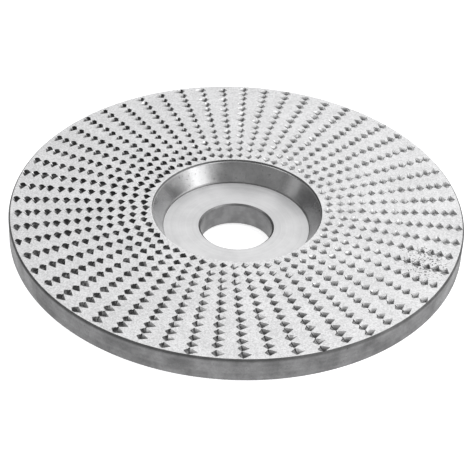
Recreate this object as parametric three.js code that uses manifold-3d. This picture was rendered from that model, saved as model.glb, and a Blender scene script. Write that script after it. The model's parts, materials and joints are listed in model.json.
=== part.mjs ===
// Carving disc for an angle grinder: one dished steel plate whose cutting face
// carries rows of small raised teeth. Millimetres, +Z up and out of the cutting
// face, origin at the middle of the hub's back face, Z along the grinder's spindle.

import * as THREE from 'three';
import { mergeVertices } from 'three/addons/utils/BufferGeometryUtils.js';
import Module from 'manifold-3d';

// Plate
const OUTER_R = 50;            // half of the 100 mm outside diameter
const PLATE = 5.6;             // plate thickness, the same at the rim and the hub
const DISH = 4.8;              // how far the hub is set back behind the rim
const FACE_Z = PLATE + DISH;   // height of the cutting face
const EDGE_TOP = 0.35;         // turned chamfer along the face's outer edge
const EDGE_BACK = 0.5;         // turned chamfer along the rim's back edge
const PLATE_SIDES = 96;        // facets round every turned surface

// Hub recess, which takes the clamp nut
const RECESS_TOP_R = 18.7;
const RECESS_FLOOR_R = 16.2;
const RECESS_LIP = 0.3;        // broken edge where the recess meets the face
const FOOT_FILLET = 0.6;       // fillet at the foot of the recess wall

// Spindle bore
const BORE_R = 8;
const BORE_CHAMFER = 0.4;

// Hub boss on the back, which seats on the grinder's flange
const BOSS_SEAT_R = 20.6;
const BOSS_FOOT_R = 23.4;
const BOSS_EDGE = 0.5;

// Teeth
const ROWS = 58;
const TEETH_PER_ROW = 13;
const INNER_TOOTH_R = 20.5;
const OUTER_TOOTH_R = 48.3;
const CROWDING = 0.12;         // how much closer the teeth stand towards the rim
const ROW_CENTRE_X = -1.2;     // the rows are struck about a centre of their own,
const ROW_CENTRE_Y = 0.85;     // a little off the disc's
const FIRST_ROW = 0.02;        // azimuth of the first row, radians
const ROW_LEAN = 0.021;        // angle between a row and its spoke, radians
const STAGGER = 0.4;           // mm that a row is moved in or out, in a cycle
const STAGGER_CYCLE = 5;       // rows before that cycle repeats
const TOOTH_WIDTH = 1.45;      // across the direction of cut
const TOOTH_LENGTH = 1.2;      // from the cutting side back to the heel
const TOOTH_HEIGHT = 0.6;
const HEEL_WIDTH = 0.35;       // of the tooth's width
const HEEL_HEIGHT = 0.15;      // of the tooth's height
const WEB_HEIGHT = 0.1;        // low web that ties a row's teeth together
const INNER_SHORTENING = 0.35; // share by which the innermost teeth and pits are shorter

// Chisel pits, one in front of each tooth
const PIT_WIDTH = 1.5;         // of its broad side, next to the tooth
const PIT_LENGTH = 1.7;        // from the broad side to the point
const PIT_DEPTH = 0.5;
const PIT_GAP = 0.05;          // between the pit and the tooth's foot
const PIT_WALL = 0.2;          // how far the deepest point is from the broad side
const CUTTER_TOP = 0.15;       // how far the pit's cutter stands above the face

const wasm = await Module();
wasm.setup();

function toSolid(geometry) {
  const bare = geometry.clone();
  bare.deleteAttribute('normal');
  bare.deleteAttribute('uv');
  const merged = mergeVertices(bare, 1e-4);
  return new wasm.Manifold(new wasm.Mesh({
    numProp: 3,
    vertProperties: merged.attributes.position.array,
    triVerts: merged.index.array,
  }));
}

function toGeometry(solid) {
  const mesh = solid.getMesh();
  const geometry = new THREE.BufferGeometry();
  geometry.setAttribute('position', new THREE.BufferAttribute(mesh.vertProperties, 3));
  geometry.setIndex(new THREE.BufferAttribute(mesh.triVerts, 1));
  geometry.computeVertexNormals();
  return geometry;
}

function steel(roughness) {
  return new THREE.MeshStandardMaterial({ color: 0xc4c5c7, metalness: 1, roughness });
}

// Half-section of the plate, from the bore's back edge out and round to it again.
function plateProfile() {
  const wallSlope = (RECESS_TOP_R - RECESS_FLOOR_R) / DISH;
  const section = [
    [BORE_R + BORE_CHAMFER, 0],
    [BOSS_SEAT_R - BOSS_EDGE, 0],
    [BOSS_SEAT_R, BOSS_EDGE],
    [BOSS_FOOT_R, DISH],
    [OUTER_R - EDGE_BACK, DISH],
    [OUTER_R, DISH + EDGE_BACK],
    [OUTER_R, FACE_Z - EDGE_TOP],
    [OUTER_R - EDGE_TOP, FACE_Z],
    [RECESS_TOP_R + RECESS_LIP, FACE_Z],
    [RECESS_TOP_R, FACE_Z - RECESS_LIP],
    [RECESS_FLOOR_R + FOOT_FILLET * wallSlope, PLATE + FOOT_FILLET],
    [RECESS_FLOOR_R - FOOT_FILLET / 3, PLATE + FOOT_FILLET / 4],
    [RECESS_FLOOR_R - FOOT_FILLET, PLATE],
    [BORE_R + BORE_CHAMFER, PLATE],
    [BORE_R, PLATE - BORE_CHAMFER],
    [BORE_R, BORE_CHAMFER],
  ];
  section.push(section[0]);
  return section.map(([r, z]) => new THREE.Vector2(r, z));
}

// The plate, with the pits cut into its face.
function discBody(pits) {
  const turned = new THREE.LatheGeometry(plateProfile(), PLATE_SIDES);
  turned.rotateX(Math.PI / 2);
  const cut = wasm.Manifold.difference([toSolid(turned), ...pits]);
  const body = new THREE.Mesh(toGeometry(cut), steel(0.32));
  body.name = 'disc_body';
  return body;
}

// Places of a row's teeth between its inner and outer ends, closer together
// towards the rim.
function toothPlaces(inner, outer) {
  return Array.from({ length: TEETH_PER_ROW }, (_, tooth) => {
    const share = tooth / (TEETH_PER_ROW - 1);
    return inner + (outer - inner) * share * (1 + CROWDING * (1 - share));
  });
}

// The cutting side of a whole row, seen from the front: a comb of pointed teeth
// that stand on a low web.
function combOutline(places) {
  const half = TOOTH_WIDTH / 2;
  const comb = new THREE.Shape();
  comb.moveTo(places[0] - half, 0);
  for (const x of places) {
    comb.lineTo(x - half, WEB_HEIGHT);
    comb.lineTo(x, TOOTH_HEIGHT);
    comb.lineTo(x + half, WEB_HEIGHT);
  }
  comb.lineTo(places.at(-1) + half, 0);
  return comb;
}

// Teeth and pits get shorter towards the hub, where the rows crowd together.
function lengthShare(x) {
  return 1 - INNER_SHORTENING * (OUTER_TOOTH_R - x) / (OUTER_TOOTH_R - INNER_TOOTH_R);
}

// Draws the back of an extruded comb in, so that each tooth slopes down and
// narrows from its upright cutting side to its heel.
function taperToHeels(geometry, places) {
  const point = geometry.attributes.position;
  for (let i = 0; i < point.count; i += 1) {
    if (point.getZ(i) < TOOTH_LENGTH / 2) continue;
    const x = point.getX(i);
    const middle = places.find((place) => Math.abs(x - place) <= TOOTH_WIDTH / 2 + 1e-4);
    point.setX(i, middle + (x - middle) * HEEL_WIDTH);
    point.setY(i, point.getY(i) * HEEL_HEIGHT);
    point.setZ(i, TOOTH_LENGTH * lengthShare(middle));
  }
}

// A row of teeth on z = 0 along +X. The cutting sides look along +Y, the way the
// disc turns, and the heels point to -Y.
function toothRow(places) {
  const geometry = new THREE.ExtrudeGeometry(combOutline(places), {
    depth: TOOTH_LENGTH,
    bevelEnabled: false,
  });
  taperToHeels(geometry, places);
  geometry.rotateX(Math.PI / 2);
  geometry.computeVertexNormals();
  return new THREE.Mesh(geometry, steel(0.28));
}

// Cutter for the pit in front of the tooth at x: an upside-down three-sided
// pyramid, steep at its broad side and sloping up to its point at +Y.
function pitCutter(x) {
  const height = PIT_DEPTH + CUTTER_TOP;
  const length = PIT_LENGTH * lengthShare(x);
  const cutter = new THREE.ConeGeometry(height / PIT_DEPTH, height, 3);
  cutter.rotateX(-Math.PI / 2);
  cutter.translate(0, 0.5, (CUTTER_TOP - PIT_DEPTH) / 2);
  cutter.scale(PIT_WIDTH / Math.sqrt(3), length / 1.5, 1);
  const steepening = (length / 3 - PIT_WALL) / PIT_DEPTH;
  cutter.applyMatrix4(new THREE.Matrix4().makeShear(0, 0, 0, 0, 0, steepening));
  cutter.translate(x, PIT_GAP, 0);
  return cutter;
}

function rowStagger(row) {
  return STAGGER * (2 * (row * 2 % STAGGER_CYCLE) / (STAGGER_CYCLE - 1) - 1);
}

// A row's frame on the face, with X along the row. It is turned about Z only, so
// the row's foot stays flat on the face, and it leans on its outer end.
function rowFrame(azimuth, outer) {
  const spoke = new THREE.Group();
  spoke.position.set(ROW_CENTRE_X, ROW_CENTRE_Y, FACE_Z);
  spoke.rotation.z = azimuth;
  const leaning = new THREE.Group();
  leaning.position.set(outer, 0, 0);
  leaning.rotation.z = ROW_LEAN;
  spoke.add(leaning);
  return { spoke, leaning };
}

const carvingDisc = new THREE.Group();
const pits = [];
for (let row = 0; row < ROWS; row += 1) {
  const azimuth = FIRST_ROW + row * 2 * Math.PI / ROWS;
  const centreShift = ROW_CENTRE_X * Math.cos(azimuth) + ROW_CENTRE_Y * Math.sin(azimuth);
  const shift = rowStagger(row) - centreShift;
  const places = toothPlaces(INNER_TOOTH_R + shift, OUTER_TOOTH_R + shift);
  const outer = places.at(-1);
  const teeth = toothRow(places);
  teeth.name = `tooth_row_${String(row + 1).padStart(2, '0')}`;
  teeth.position.set(-outer, 0, 0);
  const { spoke, leaning } = rowFrame(azimuth, outer);
  leaning.add(teeth);
  carvingDisc.add(spoke);
  spoke.updateMatrixWorld(true);
  for (const place of places) {
    pits.push(toSolid(pitCutter(place).applyMatrix4(teeth.matrixWorld)));
  }
}
carvingDisc.add(discBody(pits));

export default carvingDisc;
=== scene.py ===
# Looks of a carving disc for an angle grinder: a dished steel plate, turned all
# over and bright plated, with rows of teeth raised from its face by a chisel.

import json
import math
import random

import bpy
from mathutils import Matrix, Vector

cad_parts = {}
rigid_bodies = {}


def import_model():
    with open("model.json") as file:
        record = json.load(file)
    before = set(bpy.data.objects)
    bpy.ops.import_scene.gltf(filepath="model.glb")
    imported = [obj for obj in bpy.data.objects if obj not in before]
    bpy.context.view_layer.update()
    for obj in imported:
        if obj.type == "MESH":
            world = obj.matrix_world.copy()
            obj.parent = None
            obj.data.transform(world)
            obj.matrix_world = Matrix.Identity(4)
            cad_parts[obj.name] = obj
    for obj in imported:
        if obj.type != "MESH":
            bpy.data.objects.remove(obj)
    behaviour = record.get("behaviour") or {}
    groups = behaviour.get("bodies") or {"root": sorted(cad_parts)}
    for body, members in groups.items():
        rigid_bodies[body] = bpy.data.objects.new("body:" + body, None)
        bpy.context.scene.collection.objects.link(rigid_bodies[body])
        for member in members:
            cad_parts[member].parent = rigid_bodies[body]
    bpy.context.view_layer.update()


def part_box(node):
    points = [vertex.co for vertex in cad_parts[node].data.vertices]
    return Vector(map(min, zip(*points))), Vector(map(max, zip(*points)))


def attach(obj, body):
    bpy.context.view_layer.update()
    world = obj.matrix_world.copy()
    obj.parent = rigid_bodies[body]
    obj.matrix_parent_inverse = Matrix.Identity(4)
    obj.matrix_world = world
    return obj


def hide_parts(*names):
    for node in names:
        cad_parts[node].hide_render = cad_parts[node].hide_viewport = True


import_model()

# ---------------------------------------------------------------- dimensions

MM = 0.001
PLATE_LOW, PLATE_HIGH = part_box("disc_body")
OUTER_R = (PLATE_HIGH.x - PLATE_LOW.x) / 2
FACE_Z = PLATE_HIGH.z
DISH = 4.8 * MM                  # the hub is set back this far behind the rim
FLOOR_Z = FACE_Z - DISH          # floor of the recess, where the clamp nut sits
RIM_BACK_Z = DISH
BORE_R = 8 * MM
BORE_CHAMFER = 0.4 * MM
BORE_CHAMFER_DEPTH = 0.35 * MM   # of the chamfer at the recess floor
RECESS_LIP_R = 18.8 * MM         # edge of the recess at the face
LIP_CHAMFER = 0.1 * MM
LIP_STEP_R = RECESS_LIP_R - 0.12 * MM
LIP_STEP_Z = FACE_Z - 0.42 * MM  # foot of the small step under the lip
RECESS_TOP_R = 18.5 * MM         # top of the recess's sloping wall
WALL_TOP_Z = FACE_Z - 0.5 * MM
RECESS_FOOT_R = 16.2 * MM        # edge of the recess's flat floor
WALL_FOOT_R = RECESS_FOOT_R + 0.25 * MM
WALL_FOOT_Z = FLOOR_Z + 0.5 * MM
WALL_FOOT_ROUNDING = 0.1 * MM
CORNER_R = RECESS_FOOT_R + 0.05 * MM   # the wall steepens between its foot and here
CORNER_Z = FLOOR_Z + 0.22 * MM
CORNER_ROUNDING = 0.05 * MM
BOSS_SEAT_R = 20.6 * MM
BOSS_FOOT_R = 23.4 * MM
BOSS_EDGE = 0.5 * MM             # roundings of the boss's edge and foot,
BOSS_FILLET = 0.8 * MM
BACK_EDGE = 0.45 * MM            # and of the rim's back edge
EDGE_CHAMFER = 0.35 * MM
RUBBED_EDGE = 0.12 * MM          # rounding of edges that hands rub,
CRISP_EDGE = 0.06 * MM           # and of those that they don't
TURNED_SIDES = 240
ARC_STEP = math.radians(11)      # longest step round a rounding
HOLD = 0.12 * MM                 # from the end of a rounding to its holding edge
LONG_STRAIGHT = 0.8 * MM         # straights longer than this get holding edges
MERGE = 0.002 * MM               # points closer than this are one

ROWS = 58
TEETH_PER_ROW = 13
INNER_TOOTH_R = 20.5 * MM
OUTER_TOOTH_R = 48.3 * MM
CROWDING = 0.12                  # the teeth stand closer together towards the rim
ROW_CENTRE = Vector((-1.2 * MM, 0.85 * MM, 0))
FIRST_ROW = 0.02
ROW_LEAN = 0.021
STAGGER = 0.4 * MM
STAGGER_CYCLE = 5
INNER_SHORTENING = 0.3           # teeth and pits get shorter towards the hub

PIT_WIDTH = 2.1 * MM
PIT_LENGTH = 1.85 * MM
PIT_DEPTH = 0.78 * MM
PIT_BACK = 0.3 * MM              # how far the pit's back wall stands behind its shoulders
PIT_BACK_WIDTH = 0.66            # share of the pit's width that the back wall takes
PIT_DEEPEST = 0.22 * MM          # from the pit's shoulders forward to its deepest point
CHISEL_EDGE = 0.09 * MM          # the chisel's edges are rubbed round by this much
CHISEL_RISE = 0.8 * MM           # the chisel's shape is carried this far above the face
TOOTH_WIDTH = 1.85 * MM
TOOTH_LENGTH = 0.95 * MM         # from the cutting side back to the heel
TOOTH_HEIGHT = 0.38 * MM
TOOTH_SIDES = 12
FOOT_RING = (0.4, 0.72)          # a tooth's foot: share of its height, and taper
UPPER_RINGS = ((0.4, 0.92, 0.66), (0.2, 0.8, 0.5))   # rise, and tapers across and along
HEEL_FROM = -0.4                 # the tooth narrows to its heel from this share of its length
HEEL_TAPER = 0.6
ROOT = 0.02 * MM                 # how far a tooth reaches into the plate

SIZE_SPREAD = (0.92, 1.06)       # unevenness of the chisel's blows: size,
DEPTH_SPREAD = (0.88, 1.06)      # depth,
SLIDE_ALONG = 0.08               # place along the row, in millimetres,
SLIDE_ACROSS = 0.07              # place across it, in millimetres,
TURN_SPREAD = 0.06               # and turn, in radians

FACING_FORWARD = -0.08           # pit walls whose normals lean forward more are torn,
FACING_HUB = 0.3                 # unless they lean this much towards the hub
TOOTH_FACING = 0.4               # sides of a tooth that lean forward more are torn too
TINY = 0.005 * MM                # slack when faces are told apart by their place
FACE_EDGE_R = OUTER_R - EDGE_CHAMFER - 0.06 * MM   # pits lie inside this

SCRATCHES = ((0.4, (60, 2600, 60)), (1.9, (80, 3400, 80)))   # turn and fineness of each set
GRIME_MIDDLE = (40.3 * MM, -16.3 * MM, FACE_Z)
GRIME_REACH = 10.5 * MM
SPECK_SIZE = 0.5 * MM
EDGE_SHADE_LINE_Z = FACE_Z / MM - 0.5  # heights in millimetres of painted dark shade lines: under the rim's edge,
LIP_SHADE_LINE_Z = FACE_Z / MM - 0.42  # at the step under the recess's lip,
FOOT_SHADE_LINE_Z = FLOOR_Z / MM + 0.35   # and at the corner at the foot of its wall
SMOOTH_ANGLE = math.radians(35)

# ------------------------------------------------------------------ workshop


def clear_selection():
    if bpy.context.mode != "OBJECT":
        bpy.ops.object.mode_set(mode="OBJECT")
    bpy.ops.object.select_all(action="DESELECT")


def pick(piece):
    clear_selection()
    piece.select_set(True)
    bpy.context.view_layer.objects.active = piece


def edit(piece):
    pick(piece)
    bpy.ops.object.mode_set(mode="EDIT")
    bpy.ops.mesh.select_mode(type="VERT")
    bpy.ops.mesh.select_all(action="DESELECT")


def select_where(piece, test):
    """Selects the vertices, edges and faces whose points all pass the test."""
    bpy.ops.object.mode_set(mode="OBJECT")
    for vertex in piece.data.vertices:
        vertex.select = test(vertex.co)
    for edge in piece.data.edges:
        edge.select = all(piece.data.vertices[v].select for v in edge.vertices)
    for face in piece.data.polygons:
        face.select = all(piece.data.vertices[v].select for v in face.vertices)
    bpy.ops.object.mode_set(mode="EDIT")


def settle(piece, name):
    """Puts a piece's place into its mesh and names it."""
    pick(piece)
    bpy.ops.object.transform_apply(location=True, rotation=True, scale=True)
    piece.name = name
    piece.data.name = name
    return piece


def cut_away(piece, cutter):
    pick(piece)
    cut = piece.modifiers.new("cut", "BOOLEAN")
    cut.object = cutter
    cut.operation = "DIFFERENCE"
    cut.solver = "MANIFOLD"
    bpy.ops.object.modifier_apply(modifier=cut.name)


def close_slivers(piece):
    """Closes up the shortest edges that a cut leaves where pits cross."""
    edit(piece)
    bpy.ops.mesh.select_all(action="SELECT")
    bpy.ops.mesh.remove_doubles(threshold=MERGE)
    bpy.ops.mesh.dissolve_degenerate(threshold=MERGE)
    bpy.ops.object.mode_set(mode="OBJECT")


def scrap(piece):
    mesh = piece.data
    bpy.data.objects.remove(piece)
    bpy.data.meshes.remove(mesh)


def copies_joined(pattern, places, name):
    """One piece made of a copy of the pattern at each place."""
    copies = []
    for place in places:
        copy = pattern.copy()
        copy.data = pattern.data.copy()
        copy.data.transform(place)
        bpy.context.collection.objects.link(copy)
        copies.append(copy)
    pick(copies[0])
    for copy in copies:
        copy.select_set(True)
    bpy.ops.object.join()
    return settle(bpy.context.object, name)


# --------------------------------------------------------------------- plate


def rounded(corners):
    """Points of a closed outline of (radius, height, rounding) corners. Each rounding
    is an arc, with a holding point on any long straight beside it, so that shading
    turns in the arc alone."""
    points = []
    count = len(corners)
    for i, (radius, height, rounding) in enumerate(corners):
        corner = Vector((radius, height))
        before = Vector(corners[i - 1][:2]) - corner
        after = Vector(corners[(i + 1) % count][:2]) - corner
        half = before.angle(after) / 2
        reach = rounding / math.tan(half)
        inwards = (before.normalized() + after.normalized()).normalized()
        centre = corner + inwards * rounding / math.sin(half)
        start = corner + before.normalized() * reach - centre
        end = corner + after.normalized() * reach - centre
        steps = max(2, math.ceil(start.angle(end) / ARC_STEP))
        if before.length > LONG_STRAIGHT:
            points.append(corner + before.normalized() * (reach + HOLD))
        for step in range(steps + 1):
            points.append(centre + start.slerp(end, step / steps).normalized() * rounding)
        if after.length > LONG_STRAIGHT:
            points.append(corner + after.normalized() * (reach + HOLD))
    return points


def plate_outline():
    return rounded([
        (BORE_R + BORE_CHAMFER, 0, CRISP_EDGE),
        (BOSS_SEAT_R, 0, BOSS_EDGE),
        (BOSS_FOOT_R, RIM_BACK_Z, BOSS_FILLET),
        (OUTER_R, RIM_BACK_Z, BACK_EDGE),
        (OUTER_R, FACE_Z - EDGE_CHAMFER, RUBBED_EDGE),
        (OUTER_R - EDGE_CHAMFER, FACE_Z, RUBBED_EDGE),
        (RECESS_LIP_R, FACE_Z, CRISP_EDGE),
        (RECESS_LIP_R - LIP_CHAMFER, FACE_Z - LIP_CHAMFER, CRISP_EDGE),
        (LIP_STEP_R, LIP_STEP_Z, CRISP_EDGE),
        (RECESS_TOP_R, WALL_TOP_Z, CRISP_EDGE),
        (WALL_FOOT_R, WALL_FOOT_Z, WALL_FOOT_ROUNDING),
        (CORNER_R, CORNER_Z, CORNER_ROUNDING),
        (RECESS_FOOT_R, FLOOR_Z, RUBBED_EDGE),
        (BORE_R + BORE_CHAMFER, FLOOR_Z, CRISP_EDGE),
        (BORE_R, FLOOR_Z - BORE_CHAMFER_DEPTH, CRISP_EDGE),
        (BORE_R, BORE_CHAMFER, CRISP_EDGE),
    ])


def turned(outline, name):
    """Draws a half-section at X and turns it once round Z."""
    clear_selection()
    first = outline[0]
    bpy.ops.mesh.primitive_plane_add(size=MM, location=(first.x, 0, first.y))
    piece = bpy.context.object
    bpy.ops.object.mode_set(mode="EDIT")
    bpy.ops.mesh.merge(type="CENTER")
    for here, there in zip(outline, outline[1:] + outline[:1]):
        step = (there.x - here.x, 0, there.y - here.y)
        bpy.ops.mesh.extrude_region_move(TRANSFORM_OT_translate={"value": step})
    bpy.ops.mesh.select_all(action="SELECT")
    bpy.ops.mesh.spin(steps=TURNED_SIDES, angle=math.tau, center=(0, 0, 0), axis=(0, 0, 1))
    bpy.ops.mesh.select_all(action="SELECT")
    bpy.ops.mesh.remove_doubles(threshold=MERGE)
    bpy.ops.mesh.normals_make_consistent(inside=False)
    bpy.ops.object.mode_set(mode="OBJECT")
    return settle(piece, name)


# --------------------------------------------------------------------- teeth


def chisel_pattern():
    """The space one chisel blow leaves, with its point along +Y: a five-sided point
    with rubbed edges, steep at its back and shoulders and sloping up to the front."""
    clear_selection()
    growth = (PIT_DEPTH + CHISEL_RISE) / PIT_DEPTH
    bpy.ops.mesh.primitive_cone_add(
        vertices=5, radius1=0, radius2=1, depth=PIT_DEPTH + CHISEL_RISE,
        location=(0, 0, (CHISEL_RISE - PIT_DEPTH) / 2))
    chisel = settle(bpy.context.object, "chisel_pattern")
    deepest = Vector((0, PIT_DEEPEST))
    for vertex in chisel.data.vertices:
        if vertex.co.z < 0:
            vertex.co.xy = deepest
            continue
        side = round(vertex.co.x)
        at_face = Vector((0, PIT_LENGTH))
        if vertex.co.y < 0:
            side = math.copysign(PIT_BACK_WIDTH, vertex.co.x)
            at_face = Vector((side * PIT_WIDTH / 2, -PIT_BACK))
        elif side:
            at_face = Vector((side * PIT_WIDTH / 2, 0))
        vertex.co.xy = deepest + (at_face - deepest) * growth
    edit(chisel)
    select_where(chisel, lambda co: co.z < CHISEL_RISE / 2)
    bpy.ops.mesh.select_more()
    bpy.ops.mesh.bevel(offset=CHISEL_EDGE, segments=1, affect="EDGES")
    bpy.ops.object.mode_set(mode="OBJECT")
    return chisel


def tooth_pattern(chisel):
    """One raised tooth on z = 0: steel pushed up behind the pit, falling away and
    narrowing to a heel at -Y, with its cutting side formed by the chisel."""
    clear_selection()
    foot_share, foot_taper = FOOT_RING
    foot_height = TOOTH_HEIGHT * foot_share
    bpy.ops.mesh.primitive_cone_add(
        vertices=TOOTH_SIDES, radius1=1, radius2=foot_taper, depth=foot_height,
        location=(0, 0, foot_height / 2))
    tooth = bpy.context.object
    tooth.scale = (TOOTH_WIDTH / 2, TOOTH_LENGTH, 1)
    settle(tooth, "tooth_pattern")
    edit(tooth)
    select_where(tooth, lambda co: co.z > foot_height / 2)
    for rise, across, along in UPPER_RINGS:
        bpy.ops.mesh.extrude_region_move(
            TRANSFORM_OT_translate={"value": (0, 0, TOOTH_HEIGHT * rise)})
        bpy.ops.transform.resize(value=(across, along, 1))
    select_where(tooth, lambda co: co.y < HEEL_FROM * TOOTH_LENGTH)
    bpy.ops.transform.resize(value=(HEEL_TAPER, 1, 1), center_override=(0, 0, 0))
    bpy.ops.mesh.select_all(action="SELECT")
    bpy.ops.transform.translate(value=(0, 0, -ROOT))
    bpy.ops.object.mode_set(mode="OBJECT")
    cut_away(tooth, chisel)
    return tooth


def row_stagger(row):
    return STAGGER * (2 * (row * 2 % STAGGER_CYCLE) / (STAGGER_CYCLE - 1) - 1)


def tooth_places(row):
    """Where each tooth of a row stands, with the small unevenness of a chisel."""
    hand = random.Random(row)
    azimuth = FIRST_ROW + row * math.tau / ROWS
    towards_row = Vector((math.cos(azimuth), math.sin(azimuth), 0))
    shift = row_stagger(row) - ROW_CENTRE.dot(towards_row)
    inner, outer = INNER_TOOTH_R + shift, OUTER_TOOTH_R + shift
    row_frame = (
        Matrix.Translation(ROW_CENTRE + Vector((0, 0, FACE_Z)))
        @ Matrix.Rotation(azimuth, 4, "Z")
        @ Matrix.Translation((outer, 0, 0))
        @ Matrix.Rotation(ROW_LEAN, 4, "Z")
    )
    places = []
    for tooth in range(TEETH_PER_ROW):
        share = tooth / (TEETH_PER_ROW - 1)
        along = (outer - inner) * (share * (1 + CROWDING * (1 - share)) - 1)
        length = 1 - INNER_SHORTENING * (1 - share)
        size = hand.uniform(*SIZE_SPREAD)
        slide = Vector((hand.gauss(0, SLIDE_ALONG), hand.gauss(0, SLIDE_ACROSS), 0)) * MM
        places.append(
            row_frame
            @ Matrix.Translation(Vector((along, 0, 0)) + slide)
            @ Matrix.Rotation(hand.gauss(0, TURN_SPREAD), 4, "Z")
            @ Matrix.Diagonal((size, size * length, hand.uniform(*DEPTH_SPREAD), 1))
        )
    return places


# ------------------------------------------------------------ shader groups


def new_group(name, inputs, outputs):
    group = bpy.data.node_groups.new(name, "ShaderNodeTree")
    for socket, default in inputs.items():
        added = group.interface.new_socket(socket, in_out="INPUT", socket_type="NodeSocketFloat")
        added.default_value = default
    for socket in outputs:
        group.interface.new_socket(socket, in_out="OUTPUT", socket_type="NodeSocketFloat")
    return group


class Wiring:
    """Short words for placing and joining nodes in a tree."""

    def __init__(self, tree):
        self.tree = tree

    def node(self, kind, **settings):
        added = self.tree.nodes.new(kind)
        for setting, value in settings.items():
            setattr(added, setting, value)
        return added

    def join(self, source, target):
        self.tree.links.new(source, target)

    def feed(self, socket, value):
        if isinstance(value, (int, float)):
            socket.default_value = value
        else:
            self.join(value, socket)

    def math(self, operation, *values):
        added = self.node("ShaderNodeMath", operation=operation)
        for socket, value in zip(added.inputs, values):
            self.feed(socket, value)
        return added.outputs[0]

    def noise(self, vector, scale, detail=3.0, roughness=0.5):
        added = self.node("ShaderNodeTexNoise")
        added.inputs["Detail"].default_value = detail
        added.inputs["Roughness"].default_value = roughness
        self.feed(added.inputs["Scale"], scale)
        self.join(vector, added.inputs["Vector"])
        return added.outputs[0]

    def range(self, value, low, high, out_low=0.0, out_high=1.0):
        added = self.node("ShaderNodeMapRange", clamp=True, interpolation_type="SMOOTHSTEP")
        for socket, number in zip(added.inputs, (value, low, high, out_low, out_high)):
            self.feed(socket, number)
        return added.outputs[0]

    def spread(self, noise, out_low=0.0, out_high=1.0):
        """Noise, which mostly keeps between 0.3 and 0.7, drawn out to the given ends."""
        return self.range(noise, 0.3, 0.7, out_low, out_high)

    def blend(self, first, second, share):
        """Two values added up, with this share of the second."""
        part = self.math("MULTIPLY", first, 1 - share)
        return self.math("ADD", part, self.math("MULTIPLY", second, share))

    def mixed(self, mask, first, second):
        """A colour that runs from the first to the second with the mask."""
        mix = self.node("ShaderNodeMix", data_type="RGBA")
        self.feed(mix.inputs["Factor"], mask)
        for socket, colour in ((mix.inputs["A"], first), (mix.inputs["B"], second)):
            if isinstance(colour, tuple):
                socket.default_value = colour
            else:
                self.join(colour, socket)
        return mix.outputs["Result"]

    def place(self):
        return self.node("ShaderNodeTexCoord").outputs["Object"]

    def ends(self):
        return self.node("NodeGroupInput").outputs, self.node("NodeGroupOutput").inputs


def polar(wiring):
    """Radius and height of the shaded point, in millimetres."""
    split = wiring.node("ShaderNodeSeparateXYZ")
    wiring.join(wiring.place(), split.inputs[0])
    x, y, z = split.outputs
    square = wiring.math("ADD", wiring.math("MULTIPLY", x, x), wiring.math("MULTIPLY", y, y))
    radius = wiring.math("MULTIPLY", wiring.math("SQRT", square), 1 / MM)
    return radius, wiring.math("MULTIPLY", z, 1 / MM)


def plating_grain_group():
    """Cloudy plating with a fine grain: Cloud for colour, Grain for height."""
    group = new_group("plating_grain", {"Cloud Size": 8.0, "Grain Size": 0.25}, ("Cloud", "Grain"))
    w = Wiring(group)
    given, out = w.ends()
    place = w.place()
    cloud_scale = w.math("DIVIDE", 1 / MM, given["Cloud Size"])
    grain_scale = w.math("DIVIDE", 1 / MM, given["Grain Size"])
    w.join(w.noise(place, cloud_scale, 4, 0.6), out["Cloud"])
    w.join(w.noise(place, grain_scale, 2, 0.55), out["Grain"])
    return group


def turning_group():
    """Fine rings left by the lathe, by radius and height together."""
    group = new_group("turning_marks", {"Pitch": 0.18}, ("Rings", "Bands"))
    w = Wiring(group)
    given, out = w.ends()
    radius, height = polar(w)
    along = w.math("ADD", radius, w.math("MULTIPLY", height, 1.37))
    for socket, share in (("Rings", 1.0), ("Bands", 7.0)):
        added = w.node("ShaderNodeTexNoise", noise_dimensions="1D")
        added.inputs["Detail"].default_value = 3.0
        added.inputs["Scale"].default_value = 1.0
        w.join(w.math("DIVIDE", along, w.math("MULTIPLY", given["Pitch"], share)), added.inputs["W"])
        w.join(added.outputs[0], out[socket])
    return group


def scuff_group():
    """Thin handling scratches and small marks, as a mask."""
    group = new_group("handling_scuffs", {"Amount": 0.5}, ("Scuffs",))
    w = Wiring(group)
    given, out = w.ends()
    lines = None
    for turn, stretch in SCRATCHES:
        mapping = w.node("ShaderNodeMapping")
        mapping.inputs["Rotation"].default_value = (0, 0, turn)
        mapping.inputs["Scale"].default_value = stretch
        w.join(w.place(), mapping.inputs["Vector"])
        streak = w.range(w.noise(mapping.outputs[0], 1.0, 1.0), 0.69, 0.76)
        lines = streak if lines is None else w.math("MAXIMUM", lines, streak)
    patch = w.range(w.noise(w.place(), 120.0, 2.0), 0.48, 0.62)
    w.join(w.math("MULTIPLY", w.math("MULTIPLY", lines, patch), given["Amount"]), out["Scuffs"])
    return group


def speck_group():
    """Small dark specks of grime, few where Amount is 0 and many where it is 1."""
    group = new_group("grime_specks", {"Amount": 0.0}, ("Specks",))
    w = Wiring(group)
    given, out = w.ends()
    fine = w.noise(w.place(), 1 / SPECK_SIZE, 3.0, 0.7)
    threshold = w.math("SUBTRACT", 0.76, w.math("MULTIPLY", given["Amount"], 0.22))
    w.join(w.range(fine, threshold, w.math("ADD", threshold, 0.05)), out["Specks"])
    return group


GROUPS = {}


def place_group(w, name, **values):
    added = w.node("ShaderNodeGroup", node_tree=GROUPS[name])
    for socket, value in values.items():
        added.inputs[socket.replace("_", " ")].default_value = value
    return added.outputs


# ----------------------------------------------------------------- materials


def steel(name):
    material = bpy.data.materials.new(name)
    material.use_nodes = True
    shader = material.node_tree.nodes["Principled BSDF"]
    shader.inputs["Metallic"].default_value = 1.0
    return material, Wiring(material.node_tree), shader


def shade_between(w, mask, dark, light):
    """A very slightly blue grey that runs from dark to light with the mask."""
    return w.mixed(mask, (dark, dark, dark * 1.01, 1), (light, light, light * 1.008, 1))


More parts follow.
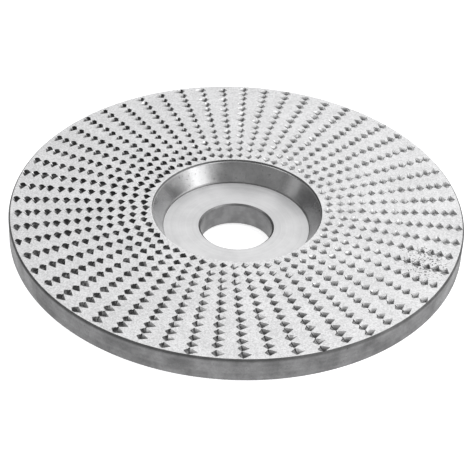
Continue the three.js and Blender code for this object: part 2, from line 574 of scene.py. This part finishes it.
def bump(w, shader, height, strength, distance):
    added = w.node("ShaderNodeBump")
    added.inputs["Strength"].default_value = strength
    added.inputs["Distance"].default_value = distance
    w.join(height, added.inputs["Height"])
    w.join(added.outputs[0], shader.inputs["Normal"])


def darkened(w, colour, mask, dark):
    """The colour, taken down to a dark grey where the mask is 1."""
    return w.mixed(mask, colour, (dark, dark, dark, 1))


def grime_patch(w):
    """Where grime has gathered between the teeth near the rim: 1 in its middle."""
    mapping = w.node("ShaderNodeMapping", vector_type="TEXTURE")
    mapping.inputs["Location"].default_value = GRIME_MIDDLE
    w.join(w.place(), mapping.inputs["Vector"])
    reach = w.node("ShaderNodeVectorMath", operation="LENGTH")
    w.join(mapping.outputs[0], reach.inputs[0])
    return w.range(reach.outputs["Value"], GRIME_REACH, 0.2 * GRIME_REACH)


def cutting_face_steel():
    """The plated cutting face, grainy and scuffed, with grime in one place."""
    material, w, shader = steel("plated_cutting_face")
    grain = place_group(w, "plating_grain", Cloud_Size=9.0, Grain_Size=0.32)
    scuffs = place_group(w, "handling_scuffs", Amount=0.6)["Scuffs"]
    specks = place_group(w, "grime_specks")
    w.join(grime_patch(w), specks["Specks"].node.inputs["Amount"])
    tone = w.blend(grain["Cloud"], grain["Grain"], 0.8)
    plating = shade_between(w, w.range(tone, 0.32, 0.68), 0.63, 0.92)
    w.join(darkened(w, plating, specks["Specks"], 0.08), shader.inputs["Base Color"])
    rough = w.spread(grain["Grain"], 0.34, 0.46)
    w.join(w.math("SUBTRACT", rough, w.math("MULTIPLY", scuffs, 0.1)), shader.inputs["Roughness"])
    bump(w, shader, w.math("SUBTRACT", grain["Grain"], scuffs), 0.45, 0.02 * MM)
    return material


def pit_slope_steel():
    """Front slopes of the chisel pits, bright where they run out into the face and darker with depth
    into the pit, as painted shade.
    """
    material, w, shader = steel("chiselled_slope")
    height = polar(w)[1]
    grain = place_group(w, "plating_grain", Cloud_Size=1.2, Grain_Size=0.2)
    uneven = w.math("MULTIPLY", w.math("SUBTRACT", grain["Cloud"], 0.5), 0.35)
    depth = w.math("ADD", w.math("SUBTRACT", FACE_Z / MM, height), uneven)
    # painted shade: the colour darkens with depth into the pit
    plain = shade_between(w, w.range(depth, 0.55, 0.0), 0.14, 0.54)
    grime = w.math("MULTIPLY", grime_patch(w), w.range(grain["Grain"], 0.4, 0.6))
    w.join(darkened(w, plain, grime, 0.06), shader.inputs["Base Color"])
    w.join(w.range(grain["Cloud"], 0.38, 0.62, 0.18, 0.42), shader.inputs["Roughness"])
    bump(w, shader, grain["Grain"], 0.6, 0.03 * MM)
    return material


def torn_painted_shade_and_sheen():
    """The steep back walls of the pits and the cutting sides of the teeth, which the chisel tore.
    Their near-black colour is painted shade, and it turns lighter where they are seen edge-on, as a
    painted sheen."""
    material, w, shader = steel("torn_painted_shade_and_sheen")
    grain = place_group(w, "plating_grain", Cloud_Size=0.9, Grain_Size=0.16)
    tone = w.range(grain["Cloud"], 0.45, 0.72)
    # painted sheen: lighter where a wall is seen edge-on; painted shade: near black where it faces
    # the view
    edge_on_painted_sheen = w.range(w.node("ShaderNodeLayerWeight").outputs["Facing"], 0.3, 0.75)
    square_on_painted_shade = shade_between(w, tone, 0.035, 0.18)
    torn = w.mixed(edge_on_painted_sheen, square_on_painted_shade, shade_between(w, tone, 0.38, 0.62))
    w.join(torn, shader.inputs["Base Color"])
    w.join(w.spread(grain["Grain"], 0.36, 0.55), shader.inputs["Roughness"])
    bump(w, shader, grain["Grain"], 0.7, 0.03 * MM)
    return material


def tooth_steel():
    """The raised teeth: darker on their flanks and lighter and smoother along their crests, the
    lighter crest a painted highlight.
    """
    material, w, shader = steel("raised_tooth_steel")
    height = polar(w)[1]
    grain = place_group(w, "plating_grain", Cloud_Size=1.6, Grain_Size=0.22)
    uneven = w.math("MULTIPLY", w.math("SUBTRACT", grain["Cloud"], 0.5), 0.2)
    rise = w.math("ADD", w.math("SUBTRACT", height, FACE_Z / MM), uneven)
    tall = TOOTH_HEIGHT / MM
    # painted highlight: the colour is lighter towards the crest
    crest_painted_highlight = w.range(rise, 0.55 * tall, 0.95 * tall)
    w.join(shade_between(w, crest_painted_highlight, 0.3, 0.68), shader.inputs["Base Color"])
    w.join(w.math("SUBTRACT", 0.42, w.math("MULTIPLY", crest_painted_highlight, 0.16)), shader.inputs["Roughness"])
    bump(w, shader, grain["Grain"], 0.3, 0.02 * MM)
    return material


def rim_steel():
    """The turned edge, matte, with grime specks and a painted shade line just under the face's edge.
    """
    material, w, shader = steel("turned_rim")
    grain = place_group(w, "plating_grain", Cloud_Size=5.0, Grain_Size=0.35)
    rings = place_group(w, "turning_marks", Pitch=0.16)
    specks = place_group(w, "grime_specks", Amount=0.45)["Specks"]
    tone = w.blend(grain["Cloud"], rings["Bands"], 0.15)
    plain = shade_between(w, w.spread(tone), 0.13, 0.25)
    # painted shade: a dark line painted on the rim just under the face's edge, at half strength
    edge = w.math("MULTIPLY", w.range(polar(w)[1], EDGE_SHADE_LINE_Z - 0.25, EDGE_SHADE_LINE_Z), 0.5)
    specks_and_painted_edge_shade = w.math("MAXIMUM", specks, edge)
    w.join(darkened(w, plain, specks_and_painted_edge_shade, 0.08), shader.inputs["Base Color"])
    w.join(w.spread(grain["Grain"], 0.48, 0.62), shader.inputs["Roughness"])
    bump(w, shader, w.math("ADD", rings["Rings"], grain["Grain"]), 0.3, 0.02 * MM)
    return material


def recess_wall_steel():
    """The polished wall of the hub recess, with faint turning, scuffs and specks, and painted shade
    lines at its foot and under its lip.
    """
    material, w, shader = steel("polished_recess_wall")
    grain = place_group(w, "plating_grain", Cloud_Size=5.0, Grain_Size=0.3)
    rings = place_group(w, "turning_marks", Pitch=0.12)
    scuffs = place_group(w, "handling_scuffs", Amount=0.8)["Scuffs"]
    specks = place_group(w, "grime_specks", Amount=0.55)["Specks"]
    height = polar(w)[1]
    plain = shade_between(w, w.spread(grain["Cloud"]), 0.4, 0.54)
    # painted shade: dark lines painted at the corner at the wall's foot and at the step under its
    # lip
    foot_painted_shade = w.range(height, FOOT_SHADE_LINE_Z + 0.05, FOOT_SHADE_LINE_Z - 0.2)
    lip_painted_shade = w.range(height, LIP_SHADE_LINE_Z - 0.08, LIP_SHADE_LINE_Z)
    lines = w.math("MULTIPLY", w.math("MAXIMUM", foot_painted_shade, lip_painted_shade), 0.75)
    w.join(darkened(w, plain, w.math("MAXIMUM", specks, lines), 0.1), shader.inputs["Base Color"])
    rough = w.spread(grain["Cloud"], 0.2, 0.27)
    w.join(w.math("ADD", rough, w.math("MULTIPLY", scuffs, 0.15)), shader.inputs["Roughness"])
    bump(w, shader, w.math("SUBTRACT", rings["Rings"], scuffs), 0.12, 0.01 * MM)
    return material


def hub_floor_steel():
    """The flat floor of the recess: satin, faced on the lathe."""
    material, w, shader = steel("faced_hub_floor")
    grain = place_group(w, "plating_grain", Cloud_Size=7.0, Grain_Size=0.3)
    rings = place_group(w, "turning_marks", Pitch=0.14)
    scuffs = place_group(w, "handling_scuffs", Amount=0.4)["Scuffs"]
    tone = w.blend(grain["Cloud"], rings["Bands"], 0.3)
    w.join(shade_between(w, w.range(tone, 0.35, 0.65), 0.68, 0.79), shader.inputs["Base Color"])
    w.join(w.spread(rings["Rings"], 0.42, 0.48), shader.inputs["Roughness"])
    bump(w, shader, w.math("SUBTRACT", rings["Rings"], scuffs), 0.2, 0.01 * MM)
    return material


def bore_steel():
    """The bored hole: darker than the face, with faint turning."""
    material, w, shader = steel("bored_hole")
    grain = place_group(w, "plating_grain", Cloud_Size=3.0, Grain_Size=0.3)
    rings = place_group(w, "turning_marks", Pitch=0.2)
    tone = w.blend(grain["Cloud"], rings["Bands"], 0.1)
    w.join(shade_between(w, w.range(tone, 0.35, 0.65), 0.165, 0.23), shader.inputs["Base Color"])
    w.join(w.spread(rings["Rings"], 0.3, 0.42), shader.inputs["Roughness"])
    bump(w, shader, rings["Rings"], 0.2, 0.015 * MM)
    return material


def back_steel():
    """The back: turned and plated, rubbed where it seats on the flange."""
    material, w, shader = steel("turned_back")
    radius = polar(w)[0]
    grain = place_group(w, "plating_grain", Cloud_Size=9.0, Grain_Size=0.35)
    rings = place_group(w, "turning_marks", Pitch=0.25)
    scuffs = place_group(w, "handling_scuffs", Amount=0.8)["Scuffs"]
    seat = w.range(radius, BOSS_SEAT_R / MM, BOSS_SEAT_R / MM - 4)
    tone = w.blend(grain["Cloud"], rings["Bands"], 0.4)
    w.join(shade_between(w, tone, 0.54, 0.74), shader.inputs["Base Color"])
    rough = w.math("SUBTRACT", w.spread(rings["Rings"], 0.34, 0.46), w.math("MULTIPLY", seat, 0.08))
    w.join(rough, shader.inputs["Roughness"])
    bump(w, shader, w.math("SUBTRACT", rings["Rings"], scuffs), 0.35, 0.02 * MM)
    return material


def finish_of(face):
    """Which finish a face of the plate has, by its place and the way it looks."""
    radius = face.center.xy.length
    height = face.center.z
    if height > FACE_Z - TINY:
        return "face"
    if radius < BORE_R + BORE_CHAMFER + 2 * TINY and 0 < height < FLOOR_Z - TINY:
        return "bore"
    if RECESS_LIP_R < radius < FACE_EDGE_R and height > FACE_Z - 2 * PIT_DEPTH:
        outward = Vector((face.center.x, face.center.y, 0)).normalized()
        forward = Vector((-outward.y, outward.x, 0))
        faces_forward = face.normal.dot(forward) > FACING_FORWARD
        faces_hub = face.normal.dot(outward) < -FACING_HUB
        return "torn" if faces_forward and not faces_hub else "slope"
    if radius > OUTER_R - BACK_EDGE - 2 * TINY and height > RIM_BACK_Z + TINY:
        return "rim"
    if radius <= RECESS_LIP_R and height > FLOOR_Z + TINY:
        return "wall"
    if radius <= RECESS_LIP_R and height > FLOOR_Z - TINY:
        return "floor"
    return "back"


# --------------------------------------------------------------------- build

GROUPS["plating_grain"] = plating_grain_group()
GROUPS["turning_marks"] = turning_group()
GROUPS["handling_scuffs"] = scuff_group()
GROUPS["grime_specks"] = speck_group()

PLATE_FINISHES = {
    "face": cutting_face_steel(),
    "slope": pit_slope_steel(),
    "torn": torn_painted_shade_and_sheen(),
    "rim": rim_steel(),
    "wall": recess_wall_steel(),
    "floor": hub_floor_steel(),
    "bore": bore_steel(),
    "back": back_steel(),
}
TOOTH_FINISHES = (tooth_steel(), PLATE_FINISHES["torn"])


def keep_face_flat(plate):
    """Marks the edge of the flat cutting face, and of each pit in it, as sharp."""
    edit(plate)
    bpy.ops.mesh.select_mode(type="FACE")
    plate.active_material_index = list(PLATE_FINISHES).index("face")
    bpy.ops.object.material_slot_select()
    bpy.ops.mesh.region_to_loop()
    bpy.ops.mesh.mark_sharp()
    bpy.ops.object.mode_set(mode="OBJECT")


def carved_plate(chisel):
    plate = turned(plate_outline(), "carving_plate")
    every_place = [place for row in range(ROWS) for place in tooth_places(row)]
    pits = copies_joined(chisel, every_place, "all_pits")
    cut_away(plate, pits)
    scrap(pits)
    close_slivers(plate)
    plate.data.materials.clear()
    for material in PLATE_FINISHES.values():
        plate.data.materials.append(material)
    finish_names = list(PLATE_FINISHES)
    for face in plate.data.polygons:
        face.material_index = finish_names.index(finish_of(face))
    pick(plate)
    bpy.ops.object.shade_smooth_by_angle(angle=SMOOTH_ANGLE)
    keep_face_flat(plate)
    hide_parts("disc_body")
    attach(plate, "root")


def tooth_rows(tooth):
    tooth.data.materials.clear()
    for material in TOOTH_FINISHES:
        tooth.data.materials.append(material)
    for face in tooth.data.polygons:
        torn = face.normal.y > TOOTH_FACING and face.normal.x > -FACING_HUB
        face.material_index = int(torn)
    for row in range(ROWS):
        teeth = copies_joined(tooth, tooth_places(row), f"raised_teeth_{row + 1:02d}")
        pick(teeth)
        bpy.ops.object.shade_smooth_by_angle(angle=SMOOTH_ANGLE)
        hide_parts(f"tooth_row_{row + 1:02d}")
        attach(teeth, "root")


chisel = chisel_pattern()
tooth = tooth_pattern(chisel)
carved_plate(chisel)
tooth_rows(tooth)
scrap(tooth)
scrap(chisel)

# --------------------------------------------------------------------- stage


FLOOR_SIZE = 6
FLOOR_GLOW = 0.62                # the floor is lit from below too, like a light table
SKY_LEAN = (1.2, 0.6, 0.75)      # the sky gets brighter this way
LENS = 130.4                     # millimetres
CAMERA_PLACE = Vector((0, -300.9 * MM, FACE_Z + 223.9 * MM))
CAMERA_AIM = Vector((-0.17 * MM, -9.59 * MM, FACE_Z))
CAMERA_ROLL = math.radians(2.72)
LIGHTS = (                       # name, place, size and power
    ("right_softbox", (0.78, -0.545, 0.2), (0.4, 0.26), 0.46),
    ("right_fill", (0.9, -0.63, 0.24), (1.0, 0.36), 0.6),
    ("left_softbox", (-0.93, -0.17, 0.13), (0.3, 0.16), 0.1),
    ("high_right_softbox", (0.75, -0.05, 1.3), (0.9, 0.9), 3.6),
    ("high_left_softbox", (-0.75, -0.05, 1.3), (0.9, 0.9), 3.6),
)


def pale_floor():
    clear_selection()
    bpy.ops.mesh.primitive_plane_add(size=FLOOR_SIZE, location=(0, 0, PLATE_LOW.z))
    floor = bpy.context.object
    floor.name = "studio_floor"
    material = bpy.data.materials.new("pale_paper")
    material.use_nodes = True
    w = Wiring(material.node_tree)
    shader = material.node_tree.nodes["Principled BSDF"]
    shader.inputs["Roughness"].default_value = 0.9
    w.join(shade_between(w, w.noise(w.place(), 4.0), 0.9, 0.93), shader.inputs["Base Color"])
    shader.inputs["Emission Color"].default_value = (1, 1, 1, 1)
    shader.inputs["Emission Strength"].default_value = FLOOR_GLOW
    floor.data.materials.append(material)


def studio_world():
    """Brightest to the back right, and dark at the left and behind the camera."""
    world = bpy.data.worlds.new("studio")
    bpy.context.scene.world = world
    world.use_nodes = True
    w = Wiring(world.node_tree)
    direction = w.node("ShaderNodeTexCoord").outputs["Generated"]
    split = w.node("ShaderNodeSeparateXYZ")
    w.join(direction, split.inputs[0])
    leaning = w.node("ShaderNodeVectorMath", operation="DOT_PRODUCT")
    w.join(direction, leaning.inputs[0])
    leaning.inputs[1].default_value = SKY_LEAN
    brightness = w.range(leaning.outputs["Value"], 0.18, 1.1, 0.37, 1.12)
    above_horizon = w.range(split.outputs[2], -0.05, 0.35, 0.5, 1.0)
    background = world.node_tree.nodes["Background"]
    w.join(w.math("MULTIPLY", brightness, above_horizon), background.inputs["Color"])


def soft_light(name, place, size, power):
    lamp = bpy.data.lights.new(name, "AREA")
    lamp.shape = "RECTANGLE"
    lamp.size, lamp.size_y = size
    lamp.energy = power
    holder = bpy.data.objects.new(name, lamp)
    bpy.context.collection.objects.link(holder)
    holder.location = place
    aim = Vector((0, 0, FACE_Z)) - Vector(place)
    holder.rotation_euler = aim.to_track_quat("-Z", "Y").to_euler()


def camera():
    data = bpy.data.cameras.new("camera")
    data.lens = LENS
    data.sensor_width = 36
    holder = bpy.data.objects.new("camera", data)
    bpy.context.collection.objects.link(holder)
    aim = CAMERA_AIM - CAMERA_PLACE
    turn = aim.to_track_quat("-Z", "Y").to_matrix().to_4x4() @ Matrix.Rotation(CAMERA_ROLL, 4, "Z")
    holder.matrix_world = Matrix.Translation(CAMERA_PLACE) @ turn
    bpy.context.scene.camera = holder


pale_floor()
studio_world()
for light in LIGHTS:
    soft_light(*light)
camera()
bpy.context.scene.view_settings.view_transform = "Standard"

bpy.context.view_layer.update()
